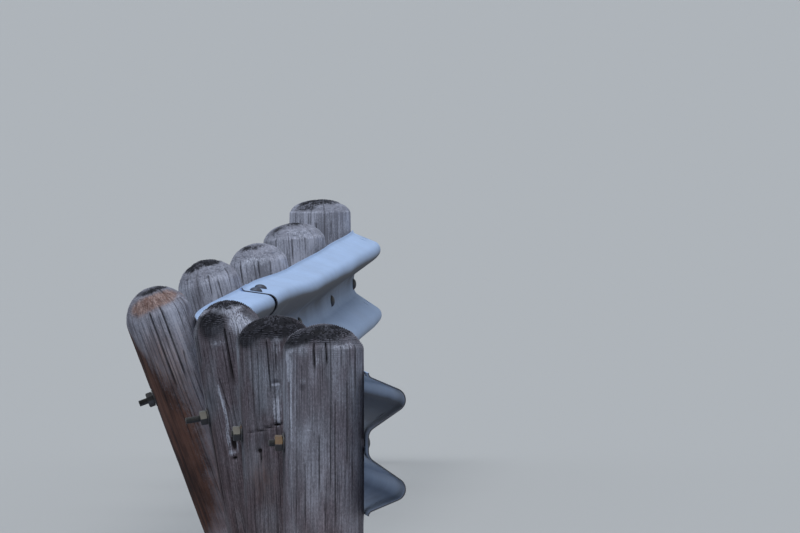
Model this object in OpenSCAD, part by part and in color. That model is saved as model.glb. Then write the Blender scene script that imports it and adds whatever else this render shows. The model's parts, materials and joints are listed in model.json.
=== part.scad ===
// A struck stretch of highway guardrail: a galvanised steel W-beam, bolted straight to round timber
// posts that have been pushed back from the road. X runs along the rail, the traffic face looks
// towards -Y, Z is up, and the ground is at zero. The origin is the centre of the first post's foot.

/* [Run] */
// Distance between neighbouring posts along the rail
bay = 1905; // [1500:5:2200]
// Height of the rail bolt above the ground on an upright post
bolt_h = 540; // [450:5:650]
// Number of the post that the two rail lengths lap on, counted from zero
lap_post = 4; // [2:1:6]
// Direction of the rail at the first post, in degrees from the X axis
start_turn = 2.6; // [-4:0.1:4]
// Direction of the rail at the last post, in degrees from the X axis
end_turn = -1.4; // [-4:0.1:4]

/* [Struck posts] */
// Lean of each post away from the traffic, in degrees
post_lean = [0, 3, 10, 20.5, 15, 9, 4.5, 1]; // [0:0.5:25]
// How far each post has been driven down by the blow
post_sink = [0, 40, 45, 0, 0, 15, 10, 10]; // [0:5:120]
// How far the blow has pushed each post back bodily, besides its lean
post_shift = [0, 50, 25, 0, 0, 0, 0, 0]; // [0:5:80]
// Depth below ground of the point that a struck post turns about
pivot_depth = 465; // [300:5:600]

/* [Posts] */
// Diameter of a post
post_d = 172; // [150:1:230]
// How much thicker than that each post is
post_d_extra = [5, 6, -4, -4, -6, -12, 5, 9]; // [-12:1:12]
// Height of each post's top above its bolt
post_head = [261, 267, 271, 266, 250, 236, 232, 254]; // [220:1:320]
// Height of each post's domed end
dome_rise = [58, 62, 80, 80, 70, 60, 51, 42]; // [30:1:110]

/* [Rail] */
// Height of the rail's section from lip to lip
rail_h = 311; // [290:1:330]
// Depth of the rail's section from its back to its crests
rail_depth = 83; // [75:1:95]
// Thickness of the rail's sheet
rail_t = 2.7; // [2.5:0.1:3.5]
// Distance between the two crests
crest_pitch = 194; // [185:1:205]
// Height of the flat strip in the valley
valley_flat = 30; // [20:1:44]
// Radius of the bends at the crests and the valley
bend_r = 25; // [18:1:27]
// Radius of the bend at each lip
lip_r = 12; // [8:1:14]
// Length over which two rail lengths lap
lap = 318; // [300:1:340]
// Length over which the outer rail closes back onto the posts after a lap
lap_run = 480; // [300:10:800]

/* [Holes in the rail] */
// Width of the slot at a post
post_slot_w = 19; // [18:0.5:22]
// Length of the slot at a post
post_slot_l = 64; // [40:1:70]
// Width of a slot in the lap
lap_slot_w = 23; // [18:0.5:26]
// Length of a slot in the lap
lap_slot_l = 29; // [27:0.5:34]
// Distance between the two columns of slots in the lap
lap_slot_pitch = 216; // [190:1:240]

/* [Post bolts] */
// Diameter of a post bolt
bolt_d = 16; // [14:0.5:17]
// Diameter of the hole through a post
post_hole_d = 20; // [18:0.5:24]
// Diameter of a bolt's button head
head_d = 33; // [30:1:38]
// Height of a bolt's button head
head_t = 10; // [7:1:12]
// How far each bolt sticks out past its nut
stub = [13, 4, 35, 22, 28, 26, 30, 27]; // [2:1:60]
// Size of a nut across its flats
nut_af = 32; // [27:1:36]
// Height of a nut
nut_t = 17; // [13:1:20]
// Diameter of a washer
washer_d = 44; // [40:1:50]
// Thickness of a washer
washer_t = 4; // [3:0.5:5]
// Room round a washer in its seat
seat_room = 3; // [1:0.5:6]

/* [Fit] */
// Gap between two pieces that bear on each other
fit_gap = 0.3; // [0.2:0.05:0.5]

/* [Hidden] */
$fn = 48;
last = len(post_lean) - 1;
ring_pitch = 240;
ring_steps = ceil(bay / ring_pitch);
dome_steps = 6;
valley_steps = 2;
crest_steps = 6;
lip_steps = 2;
overcut = 10;
buried = 2 * (bolt_h + pivot_depth);

// Vectors along the run. Each post has a heading, an outward normal that looks at the traffic, and
// an up direction, which is the post's own axis.
function unit(v) = v / norm(v);
function bolt_y(i) = post_shift[i] + (pivot_depth + bolt_h) * sin(post_lean[i]);
function bolt_z(i) = (pivot_depth + bolt_h) * cos(post_lean[i]) - pivot_depth - post_sink[i];
function bolt_at(i) = [i * bay, bolt_y(i), bolt_z(i)];
function turn(i) = i == 0 ? start_turn : i == last ? end_turn
    : atan2(bolt_y(i + 1) - bolt_y(i - 1), 2 * bay);
function climb(i) = (bolt_z(min(i + 1, last)) - bolt_z(max(i - 1, 0))) / (2 * bay);
function ahead(i) = [cos(turn(i)), sin(turn(i)), 0];
function level_out(i) = [sin(turn(i)), -cos(turn(i)), 0];
function outward(i) = cos(post_lean[i]) * level_out(i) + [0, 0, sin(post_lean[i])];
function upward(i) = -sin(post_lean[i]) * level_out(i) + [0, 0, cos(post_lean[i])];
function post_r(i) = (post_d + post_d_extra[i]) / 2;

// The rail's path is a smooth curve through the points where its valley bears on the posts,
// and runs straight on past the first and the last.
function seat_at(i) = bolt_at(i) + (post_r(i) + fit_gap) * outward(i);
function pull(i) = bay * (ahead(i) / cos(turn(i)) + climb(i) * upward(i));
function span(p) = max(0, min(last - 1, floor(p)));
function path(p) =
    p < 0 ? seat_at(0) + p * pull(0) :
    p > last ? seat_at(last) + (p - last) * pull(last) :
    let (i = span(p), t = p - i, s = 1 - t)
    s * s * (1 + 2 * t) * seat_at(i) + t * s * s * pull(i)
    + t * t * (1 + 2 * s) * seat_at(i + 1) - t * t * s * pull(i + 1);
function path_dir(p) =
    p < 0 ? unit(pull(0)) :
    p > last ? unit(pull(last)) :
    let (i = span(p), t = p - i, s = 1 - t)
    unit(6 * t * s * (seat_at(i + 1) - seat_at(i))
         + s * (1 - 3 * t) * pull(i) - t * (2 - 3 * t) * pull(i + 1));
function path_out(p) =
    let (i = span(p), t = max(0, min(1, p - i)), e = t * t * (3 - 2 * t))
    let (n = (1 - e) * outward(i) + e * outward(i + 1), d = path_dir(p))
    unit(n - (n * d) * d);

// Section of the rail. A point is its distance out from the rail's back and its height above the
// bolt line, with the direction of the sheet there, in degrees from upright.
back_n = rail_t / 2;
crest_c = [rail_depth - rail_t / 2 - bend_r, crest_pitch / 2];
valley_c = [back_n + bend_r, valley_flat / 2];
lip_c = [back_n + lip_r, rail_h / 2];
function wall_turn(out, up, radii) = atan2(out, up) + asin(radii / norm([out, up]));
inner_turn = wall_turn(crest_c[0] - valley_c[0], crest_c[1] - valley_c[1], 2 * bend_r);
outer_turn = wall_turn(crest_c[0] - lip_c[0], lip_c[1] - crest_c[1], bend_r + lip_r);
function bend(c, r, from, to, steps) =
    [for (k = [0:steps])
        let (a = from + (to - from) * k / steps) [c[0] + r * cos(a), c[1] - r * sin(a), a]];
valley_bend = bend(valley_c, -bend_r, 0, inner_turn, valley_steps);
crest_bend = bend(crest_c, bend_r, inner_turn, -outer_turn, crest_steps);
lip_bend = bend(lip_c, -lip_r, -outer_turn, 0, lip_steps);
half_line = concat(valley_bend, crest_bend, lip_bend);
line = concat(
    [for (k = [len(half_line) - 1:-1:0]) [half_line[k][0], -half_line[k][1], -half_line[k][2]]],
    half_line);
function beside(q, d) = [q[0] + d * cos(q[2]), q[1] - d * sin(q[2])];
section = concat(
    [for (q = line) beside(q, rail_t / 2)],
    [for (k = [len(line) - 1:-1:0]) beside(line[k], -rail_t / 2)]);

// The outer rail of a lap stands off by what its steepest wall needs, and closes in over lap_run.
lap_step = (rail_t + fit_gap) / cos(outer_turn);
lap_half = lap / 2 / bay;
wall_cut = 3 * rail_t;
valley_cut = 6 * lap_step;
function stand_off(p) =
    let (d = (p - lap_post - lap_half) * bay)
    d <= 0 ? lap_step : d >= lap_run ? 0 : lap_step * (1 + cos(180 * d / lap_run)) / 2;
function ring(p, off) =
    let (o = path(p), n = path_out(p), u = cross(n, path_dir(p)))
    [for (q = section) o + (q[0] + off) * n + q[1] * u];
function stations(from, to) = concat(
    [from - lap_half, from],
    from == lap_post ? [from + lap_half] : [],
    [for (k = [from * ring_steps + 1:to * ring_steps - 1]) k / ring_steps],
    to == lap_post ? [to - lap_half] : [],
    [to, to + lap_half]);

module swept(rings) {
    n = len(rings);
    k = len(rings[0]);
    sides = [for (i = [0:n - 2], j = [0:k - 1])
        let (a = i * k + j, b = i * k + (j + 1) % k)
        each [[a, b, b + k], [a, b + k, a + k]]];
    near_end = [for (j = [k - 1:-1:0]) j];
    far_end = [for (j = [0:k - 1]) (n - 1) * k + j];
    polyhedron([for (r = rings) each r], concat(sides, [near_end, far_end]), convexity = 10);
}

// Local frames with x along the run, y away from the traffic and z up
module at_post(i) translate(bolt_at(i)) rotate([-post_lean[i], 0, turn(i)]) children();
module on_rail(p) {
    d = path_dir(p);
    n = path_out(p);
    yaw = atan2(d[1], d[0]);
    level = unit([d[1], -d[0], 0]);
    roll = -atan2(n * cross(level, d), n * level);
    translate(path(p)) rotate([roll, -asin(d[2]), yaw]) children();
}

module slot(w, l, depth) {
    for (side = [-1, 1])
        translate([side * (l - w) / 2, 0, 0]) rotate([90, 0, 0]) cylinder(d = w, h = depth, center = true);
    cube([l - w, depth, w], center = true);
}

// Middles of the straight walls of the upper half, which the slots of the lap go through
inner_wall = (valley_bend[valley_steps] + crest_bend[0]) / 2;
outer_wall = (crest_bend[crest_steps] + lip_bend[0]) / 2;

module lap_slots(post, off) {
    for (side = [-1, 1], half = [-1, 1]) on_rail(post + side * lap_slot_pitch / 2 / bay) {
        translate([0, -inner_wall[0] - off, half * inner_wall[1]])
            rotate([half * inner_turn, 0, 0]) slot(lap_slot_w, lap_slot_l, wall_cut);
        translate([0, -outer_wall[0] - off, half * outer_wall[1]])
            rotate([-half * outer_turn, 0, 0]) slot(lap_slot_w, lap_slot_l, wall_cut);
    }
}

module rail(from, to, lapped) {
    color("lightsteelblue") difference() {
        swept([for (p = stations(from, to)) ring(p, lapped ? stand_off(p) : 0)]);
        for (i = [from:to]) on_rail(i) slot(post_slot_w, post_slot_l, valley_cut);
        lap_slots(from, lapped ? lap_step : 0);
        lap_slots(to, 0);
    }
}
module rail_near() rail(0, lap_post, false);
module rail_far() rail(lap_post, last, true);

// A post is a turned log with a domed end, cut level with the ground
function seat_y(i) = sqrt(pow(post_r(i), 2) - pow(washer_d / 2 + seat_room, 2));
function dome(r, base, rise) =
    [for (k = [0:dome_steps - 1]) let (a = 90 * k / dome_steps) [r * cos(a), base + rise * sin(a)]];
module log(r, top, rise) {
    rotate([0, 0, 45]) rotate_extrude()
        polygon(concat([[0, -buried], [r, -buried]], dome(r, top - rise, rise), [[0, top]]));
}
module post(i) {
    r = post_r(i);
    color("darkgray") difference() {
        at_post(i) log(r, post_head[i], dome_rise[i]);
        at_post(i) {
            rotate([90, 0, 0]) cylinder(d = post_hole_d, h = 2 * r + overcut, center = true);
            translate([0, seat_y(i), 0]) rotate([-90, 0, 0]) rotate([0, 0, 45])
                cylinder(d = washer_d + 2 * seat_room, h = r);
        }
        translate([(i - 1 / 2) * bay, -bay / 2, -buried]) cube([bay, bay, buried]);
    }
}

// A button-headed bolt from the front of the rail to past the nut
function head_y(i) = -(post_r(i) + 2 * fit_gap + rail_t + (i == lap_post ? lap_step : 0));
function washer_y(i) = seat_y(i) + fit_gap;
function nut_y(i) = washer_y(i) + washer_t + fit_gap;
module post_bolt(i) {
    reach = nut_y(i) + nut_t + stub[i] - head_y(i);
    shank = [[0, reach], [bolt_d / 2, reach], [bolt_d / 2, 0]];
    color("slategray") at_post(i) translate([0, head_y(i), 0]) rotate([-90, 0, 0])
        rotate_extrude() polygon(concat(shank, dome(head_d / 2, 0, -head_t), [[0, -head_t]]));
}

module washer(i) {
    color("dimgray") at_post(i) translate([0, washer_y(i), 0]) rotate([-90, 0, 0]) difference() {
        cylinder(d = washer_d, h = washer_t);
        translate([0, 0, -overcut]) cylinder(d = bolt_d + 2 * fit_gap, h = washer_t + 2 * overcut);
    }
}

module nut(i) {
    color("goldenrod") at_post(i) translate([0, nut_y(i), 0]) rotate([-90, 0, 0]) difference() {
        cylinder(d = nut_af / cos(30), h = nut_t, $fn = 6);
        translate([0, 0, -overcut]) cylinder(d = bolt_d + 2 * fit_gap, h = nut_t + 2 * overcut);
    }
}

for (i = [0:last]) {
    post(i);
    post_bolt(i);
    washer(i);
    nut(i);
}
rail_near();
rail_far();
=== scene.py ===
# %% [markdown]
# # A struck stretch of highway guardrail
# The object is a run of eight round timber posts with a W-shaped steel rail bolted to their front.
# A hard blow has pushed the middle posts back, so they lean, and the rail follows them in an S.
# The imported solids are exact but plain. This lesson keeps every size and place that they have, and
# remakes each piece with what years outdoors do to it: splits, worn ends, stains, dull zinc,
# threads.

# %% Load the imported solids
import json
import math

import bmesh
import bpy
import numpy as np
from mathutils import Matrix, Vector

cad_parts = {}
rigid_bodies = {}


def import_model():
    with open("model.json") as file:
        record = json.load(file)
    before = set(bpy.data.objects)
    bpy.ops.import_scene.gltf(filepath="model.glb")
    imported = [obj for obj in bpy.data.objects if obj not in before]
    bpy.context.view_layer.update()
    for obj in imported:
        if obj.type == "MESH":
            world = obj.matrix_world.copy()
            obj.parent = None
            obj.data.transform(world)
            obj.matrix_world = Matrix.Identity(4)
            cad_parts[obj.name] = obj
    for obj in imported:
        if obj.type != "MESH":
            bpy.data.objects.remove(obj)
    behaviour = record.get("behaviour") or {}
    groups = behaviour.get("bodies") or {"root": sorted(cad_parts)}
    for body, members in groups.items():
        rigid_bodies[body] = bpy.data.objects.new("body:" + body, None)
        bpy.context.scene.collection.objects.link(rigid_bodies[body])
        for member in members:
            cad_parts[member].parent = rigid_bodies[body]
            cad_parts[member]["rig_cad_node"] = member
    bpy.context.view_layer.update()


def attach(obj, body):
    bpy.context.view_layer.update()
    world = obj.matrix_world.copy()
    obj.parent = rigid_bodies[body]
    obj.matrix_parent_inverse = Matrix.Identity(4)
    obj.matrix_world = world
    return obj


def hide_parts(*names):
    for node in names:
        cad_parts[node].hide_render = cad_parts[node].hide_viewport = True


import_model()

# %% [markdown]
# ## The sizes of the run
# A scene that repeats a few driving sizes can place every new piece by the same formulas as the
# solids, so nothing is fitted by eye. The posts stand a fixed bay apart. A struck post has turned
# about a point below its foot, sunk a little, and two of them were also pushed back bodily.

# %% Sizes in metres and radians
BAY, BOLT_HEIGHT, PIVOT = 1.905, 0.540, 0.465
POSTS, LAP_POST = 8, 4
LAST = POSTS - 1
START_TURN, END_TURN = math.radians(2.6), math.radians(-1.4)
LEAN = [math.radians(a) for a in (0, 3, 10, 20.5, 15, 9, 4.5, 1)]
SINK = [0, 0.040, 0.045, 0, 0, 0.015, 0.010, 0.010]
SHIFT = [0, 0.050, 0.025, 0, 0, 0, 0, 0]
RADIUS = [(0.172 + extra / 1000) / 2 for extra in (5, 6, -4, -4, -6, -12, 5, 9)]
HEAD = [0.261, 0.267, 0.271, 0.266, 0.250, 0.236, 0.232, 0.254]
RISE = [0.058, 0.062, 0.080, 0.080, 0.070, 0.060, 0.051, 0.042]
RIM = [head - rise for head, rise in zip(HEAD, RISE)]
STUB = [0.013, 0.004, 0.035, 0.022, 0.028, 0.026, 0.030, 0.027]
FIT = 0.0003
print("run of", LAST, "bays,", round(LAST * BAY, 3), "m between its end posts")


# %% [markdown]
# ## Where each post stands
# A post's own frame has its origin on the bolt, x along the rail, y away from the front and z up
# the timber. One matrix a post then carries everything that belongs to it: the log, bolt, washer
# and nut.

# %% A frame for each post
def bolt_point(i):
    arm = PIVOT + BOLT_HEIGHT
    back = SHIFT[i] + arm * math.sin(LEAN[i])
    return Vector((i * BAY, back, arm * math.cos(LEAN[i]) - PIVOT - SINK[i]))


BOLTS = [bolt_point(i) for i in range(POSTS)]


def heading(i):
    if i in (0, LAST):
        return END_TURN if i else START_TURN
    return math.atan2(BOLTS[i + 1].y - BOLTS[i - 1].y, 2 * BAY)


HEADING = [heading(i) for i in range(POSTS)]


def post_frame(i):
    turned = Matrix.Rotation(HEADING[i], 4, "Z") @ Matrix.Rotation(-LEAN[i], 4, "X")
    return Matrix.Translation(BOLTS[i]) @ turned


print("bolts stand off the first by", [round(b.y, 3) for b in BOLTS])

# %% [markdown]
# ## The camera
# The photograph was taken with a very long lens from far behind the first post, looking down the
# run. That flattens the depth, so the posts seem to stand side by side. The camera comes before
# the timber, because some splits and stains are placed by where the photograph shows them: a ray
# through that point of the picture meets the log, and the mark is then made there, on the log
# itself.

# %% A long lens behind the first post
FRAME_W, FRAME_H, FOCAL_PX = 800, 533, 17000
CAMERA_AT = Vector((-37, -0.0301, 1.8696))
CAMERA_TURN = Vector((1, -0.003686, -0.02555)).to_track_quat("-Z", "Y")


def add_object(name, data):
    made = bpy.data.objects.new(name, data)
    bpy.context.scene.collection.objects.link(made)
    return made


camera_data = bpy.data.cameras.new("camera")
camera_data.sensor_width = 36
camera_data.lens = FOCAL_PX * camera_data.sensor_width / FRAME_W
camera_data.clip_end = 5000
camera = add_object("camera", camera_data)
camera.location = CAMERA_AT
camera.rotation_euler = CAMERA_TURN.to_euler()
bpy.context.scene.camera = camera
print("lens", round(camera_data.lens), "mm on a 36 mm sensor")


# %% The point of a log behind a point of the picture
def on_log(i, px, py):
    """Where the ray through a point of the 800 by 533 picture meets the plain log of post i."""
    to_post = post_frame(i).inverted()
    start = to_post @ CAMERA_AT
    pointed = Vector((px - FRAME_W / 2, FRAME_H / 2 - py, -FOCAL_PX))
    ray = to_post.to_3x3() @ (CAMERA_TURN @ pointed)
    # Flattened to no height, the log is a circle, its side. Stretched, its dome is a ball.
    for stretch in (0, RADIUS[i] / RISE[i]):
        o = Vector((start.x, start.y, (start.z - RIM[i]) * stretch))
        d = Vector((ray.x, ray.y, ray.z * stretch))
        half_b, size = o.dot(d), d.dot(d)
        inside = half_b * half_b - size * (o.dot(o) - RADIUS[i] ** 2)
        hit = start + ray * ((-half_b - math.sqrt(max(0, inside))) / size)
        if hit.z <= RIM[i]:
            break
    return hit


def pixel_size(i):
    """How much of post i one pixel of the picture covers, in metres."""
    return (BOLTS[i].x - CAMERA_AT.x) / FOCAL_PX


print("one pixel is", [round(1000 * pixel_size(i), 2) for i in range(POSTS)], "mm at the posts")


# %% [markdown]
# ## Small helpers
# Every finished piece is an object at the origin with its place in its mesh, so its texture
# coordinates are the run's own. It rides on the one body, takes the finish that it is given, and
# stands for the plain solids that it replaces.

# %% Finish a piece
def as_piece(name, mesh, material, slot, *stands_for):
    piece = add_object(name, mesh)
    mesh.materials.clear()
    mesh.materials.append(material)
    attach(piece, "root")
    if stands_for:
        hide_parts(*stands_for)


# %% Between a bmesh and a mesh
def to_bmesh(mesh):
    bm = bmesh.new()
    bm.from_mesh(mesh)
    return bm


def fill_mesh(bm, mesh, sharp=None):
    """Writes a bmesh into a mesh, smooth, with edges sharper than the given angle kept sharp."""
    mesh.clear_geometry()
    bm.to_mesh(mesh)
    bm.free()
    mesh.polygons.foreach_set("use_smooth", [True] * len(mesh.polygons))
    if sharp:
        mesh.set_sharp_from_angle(angle=math.radians(sharp))
    return mesh


def new_mesh(bm, name, sharp=None):
    return fill_mesh(bm, bpy.data.meshes.new(name), sharp)


def triangles(mesh):
    return sum(len(f.vertices) - 2 for f in mesh.polygons)


def closed_or_open(bm):
    return "closed" if all(len(e.link_faces) == 2 for e in bm.edges) else "OPEN"


# %% Read and write the vertices
def coordinates(mesh):
    flat = np.zeros(3 * len(mesh.vertices), np.float32)
    mesh.vertices.foreach_get("co", flat)
    return flat.reshape(-1, 3).astype(float)


def move_points(mesh, points):
    mesh.vertices.foreach_set("co", points.astype(np.float32).ravel())
    mesh.update()


def write_values(mesh, name, values):
    """Stores a number or a vector on every vertex, where a material can read it."""
    kind, field = ("FLOAT", "value") if values.ndim == 1 else ("FLOAT_VECTOR", "vector")
    store = mesh.attributes.new(name, kind, "POINT")
    store.data.foreach_set(field, values.astype(np.float32).ravel())


# %% Draw with a vertex
def verts_of(geom):
    return [g for g in geom if isinstance(g, bmesh.types.BMVert)]


def everything(bm):
    return bm.verts[:] + bm.edges[:] + bm.faces[:]


def draw_to(bm, vert, place, pieces=1):
    """Extrudes a vertex to a place, in several edges, and gives back the new end."""
    step = bmesh.ops.extrude_vert_indiv(bm, verts=[vert])
    end = step["verts"][0]
    end.co = place
    if pieces > 1:
        bmesh.ops.subdivide_edges(bm, edges=step["edges"], cuts=pieces - 1)
        end = min(bm.verts, key=lambda v: (v.co - Vector(place)).length)
    return end


def draw_arc(bm, vert, centre, axis, angle, steps):
    """Spins a vertex round a centre and gives back the arc's end."""
    made = bmesh.ops.spin(bm, geom=[vert], cent=centre, axis=axis, dvec=(0, 0, 0), angle=angle,
                          steps=steps, use_duplicate=False)
    return verts_of(made["geom_last"])[0]


def widest(bm):
    """The vertex furthest out along x: the rim of a drawn quarter arc."""
    return max(bm.verts, key=lambda v: v.co.x)


# %% Turn an outline round z
MERGE = 3e-6


def spin_round(bm, steps, sectors=8):
    """Turns a drawn outline into a solid of revolution, closed along its seams and poles.

    A spin slows down as its mesh grows, so one sector is spun and the others are turned copies."""
    bmesh.ops.spin(bm, geom=everything(bm), cent=(0, 0, 0), axis=(0, 0, 1), dvec=(0, 0, 0),
                   angle=math.tau / sectors, steps=steps // sectors, use_duplicate=False)
    sector = everything(bm)
    for k in range(1, sectors):
        copy = bmesh.ops.duplicate(bm, geom=sector)["geom"]
        turn = Matrix.Rotation(math.tau * k / sectors, 3, "Z")
        bmesh.ops.rotate(bm, cent=(0, 0, 0), matrix=turn, verts=verts_of(copy))
    bmesh.ops.remove_doubles(bm, verts=bm.verts[:], dist=MERGE)
    bmesh.ops.recalc_face_normals(bm, faces=bm.faces[:])


print("points closer than", MERGE * 1e6, "micrometres are merged")


# %% [markdown]
# ## The outline of a post
# The posts are round logs with a domed end. A lathe makes that shape, and so does a spin: one
# vertex is swung up into a quarter arc for the dome and drawn down in straight steps for the side.
# The steps are short round the bolt, where a washer's seat is cut, and longer near the foot.

# %% A log as rings and columns
# Rings on the dome, columns round the log, and the steps of its side down to each level, which
# is a height about the bolt. The posts that the picture shows larger get more of all of them.
NEAR_POSTS, LEVELS = 4, (0.033, -0.033, -0.24)
NEAR_LOG = {"columns": 288, "cap": 104, "steps": (0.006, 0.003, 0.006, 0.012)}
FAR_LOG = {"columns": 216, "cap": 68, "steps": (0.010, 0.004, 0.010, 0.020)}
BELOW_FOOT = 0.02


def log_style(i):
    return NEAR_LOG if i < NEAR_POSTS else FAR_LOG


def turned_log(i):
    """The mesh of a plain log, and its outline as a height and a radius for each ring."""
    style, r = log_style(i), RADIUS[i]
    foot = -BOLTS[i].z / math.cos(LEAN[i]) - r * math.tan(LEAN[i]) - BELOW_FOOT
    bm = bmesh.new()
    draw_arc(bm, bm.verts.new((r, 0, 0)), (0, 0, 0), (0, 1, 0), -math.pi / 2, style["cap"])
    bmesh.ops.scale(bm, vec=(1, 1, RISE[i] / r), verts=bm.verts[:])
    bmesh.ops.translate(bm, vec=(0, 0, RIM[i]), verts=bm.verts[:])
    edge = widest(bm)
    for low, step in zip((*LEVELS, foot), style["steps"]):
        edge = draw_to(bm, edge, (r, 0, low), round((edge.co.z - low) / step))
    outline = np.array(sorted(((v.co.z, v.co.x) for v in bm.verts), reverse=True))
    spin_round(bm, style["columns"])
    return new_mesh(bm, f"post_{i + 1}"), outline


for name, style in (("near", NEAR_LOG), ("far", FAR_LOG)):
    print(name, "logs:", style["columns"], "columns,", style["cap"], "rings on the dome")


# %% [markdown]
# ## Uneven wood
# Weather eats the soft early wood faster than the hard late wood, and that leaves long ridges on
# the side. On the cut end the marks of the tool that rounded it wear into rings with gaps and
# chips. All of it is made by moving the vertices inwards by numbers that change smoothly: a coarse
# table of seeded random numbers, eased between its entries and closed round the log.

# %% Smooth seeded noise on a log
def uneven(rng, along, columns, cell, round_cells):
    """Smooth noise from -1 to 1, a row for each ring, with cells of a length and a count round."""
    def ease(x):
        return x * x * (3 - 2 * x)

    steps = along / cell
    row = np.floor(steps).astype(int)
    table = rng.uniform(-1, 1, (row.max() + 2, round_cells))
    place = np.arange(columns) * round_cells / columns
    column = np.floor(place).astype(int)
    part = ease(place - column)
    rows = table[:, column % round_cells] * (1 - part) + table[:, (column + 1) % round_cells] * part
    share = ease(steps - row)[:, None]
    return rows[row] * (1 - share) + rows[row + 1] * share


def step_up(x, low, high):
    t = np.clip((x - low) / (high - low), 0, 1)
    return t * t * (3 - 2 * t)


# %% [markdown]
# ## Splits
# A round post dries from the outside, so it splits along the grain and towards its heart. Splits
# are what the eye sees first, and they have to be real gaps: a painted line goes flat as the light
# moves. A boolean cut for each would tear the mesh, so a column of the log is laid along the
# split, pushed inwards, and its neighbours are drawn to the width of the opening. The lists below
# hold the splits that the photograph shows, each by its two ends in the picture, its half opening
# and depth in millimetres. Every log then gets more: wide ones on the sides that can't be seen,
# and hairlines all round. Where two would meet, the wider one stays.

# %% The splits that the photograph shows
SEEN_SPLITS = [
    [(313.5, 343, 314.3, 374, 2.4, 16), (314.5, 378, 315.5, 480, 1.0, 7),
     (325.5, 343, 327, 368, 2.2, 14), (319, 436, 319.5, 500, 1.0, 7),
     (341, 347, 341.5, 362, 1.0, 8), (349.5, 347, 350, 362, 0.9, 7),
     (304.5, 462, 305, 533, 0.9, 6), (312, 488, 312.5, 533, 0.9, 6), (335, 400, 336, 533, 0.9, 6),
     (347, 380, 347.5, 470, 0.8, 6)],
    [(239.5, 350, 245.5, 395, 1.3, 9), (250.5, 345, 254, 425, 1.0, 7),
     (266, 340, 271, 400, 1.6, 12), (257, 352, 259, 425, 0.7, 5), (275, 345, 276, 372, 0.8, 6)],
    [(224, 328, 236, 388, 2.2, 16), (209, 342, 213, 360, 0.9, 6), (219, 378, 230, 412, 1.2, 8),
     (204, 350, 209, 392, 0.8, 5), (194, 340, 199, 365, 0.7, 5), (229, 408, 234, 433, 0.9, 7)],
    [(149.5, 313, 179, 392, 2.4, 18), (159, 305, 190, 385, 2.0, 15), (182, 297, 190, 322, 1.6, 11),
     (189, 300, 195, 320, 1.2, 8), (139, 330, 170, 410, 0.8, 6), (184, 350, 195, 402, 1.2, 9)],
    [(208, 275, 213, 300, 1.4, 9), (226, 268, 231, 296, 1.6, 11), (196, 272, 202, 305, 1.0, 7),
     (236, 266, 240, 285, 1.2, 8)],
    [(240, 262, 243, 286, 1.5, 9), (258, 262, 260, 280, 1.4, 9), (270, 262, 271, 276, 1.0, 6)],
    [(276, 240, 277, 270, 1.2, 8), (292, 240, 293, 262, 1.0, 7), (305, 238, 306, 256, 1.1, 8)],
    [(300, 220, 301, 250, 1.1, 8), (316, 222, 317, 246, 1.1, 8), (331, 222, 332, 240, 0.9, 7)],
]
print("splits seen on each post:", [len(s) for s in SEEN_SPLITS])


# %% Lay the splits out round a log
# The wide and the fine splits that are added: room between them in radians, how many there are
# then in all, the ranges of their half openings and depths in millimetres, and how much longer
# they run. Wide ones keep off the side that the photograph shows, by half its angle.
WIDE = {"room": 0.21, "wanted": 14, "gaps": (1.0, 2.2), "depths": (9, 20), "longer": 1.7}
FINE = {"room": 0.075, "wanted": 44, "gaps": (0.35, 0.8), "depths": (2, 5), "longer": 1}
TRIES, PHOTO_SIDE, PHOTO_HALF = 900, math.pi, 1.3


def apart(a, b):
    return abs((a - b + math.pi) % math.tau - math.pi)


def lay_splits(i, rng, z):
    """Every split of a log: its angle at each ring, half opening, depth, top and foot."""
    rim, foot, splits = RIM[i], z[-1], []
    for x0, y0, x1, y1, gap, depth in SEEN_SPLITS[i]:
        a, b = on_log(i, x0, y0), on_log(i, x1, y1)
        ends = [math.atan2(p.y, p.x) % math.tau for p in (a, b)]
        line = np.interp(-z, [-a.z, -b.z], ends)
        splits.append((line, gap, depth, a.z + 0.004, min(b.z, a.z - 0.05)))
    for more in (WIDE, FINE):
        for _ in range(TRIES):
            angle = rng.uniform(0, math.tau)
            if len(splits) >= more["wanted"]:
                break
            if any(apart(angle, s[0][len(z) // 3]) < more["room"] for s in splits):
                continue
            if more is WIDE and apart(angle, PHOTO_SIDE) < PHOTO_HALF:
                continue
            tops = (HEAD[i], rim + rng.uniform(-0.03, 0.5 * RISE[i]), rng.uniform(0.7 * foot, rim))
            high = rng.choice(tops, p=(0.08, 0.47, 0.45))
            low = high - rng.uniform(0.06, 0.5) * more["longer"]
            line = np.full(len(z), angle) + rng.uniform(-0.05, 0.05) * (z - high)
            gap, depth = rng.uniform(*more["gaps"]), rng.uniform(*more["depths"])
            splits.append((line, gap, depth, high, low))
    return splits


# %% Give each split a column
def choose_splits(splits, rings, cell, r):
    """Gives each split a column of its own and a width in columns, the widest splits first."""
    columns, taken = round(math.tau / cell), []
    for line, gap, depth, high, low in sorted(splits, key=lambda s: -s[1]):
        column = round(line[rings // 3] / cell) % columns
        wide = min(max(gap / 1000 / r / cell, 1.0), 2.2)
        clear = all(abs((column - other + columns // 2) % columns - columns // 2) >= wide + room + 1
                    for other, room, _ in taken)
        if clear and 3 <= column <= columns - 3:
            taken.append((column, wide, (line, gap, depth, high, low)))
    return sorted(taken, key=lambda t: t[0])


# %% Open the splits
LEAST_ANGLE, BESIDE_DEPTH = 0.0004, 0.0004


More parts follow.
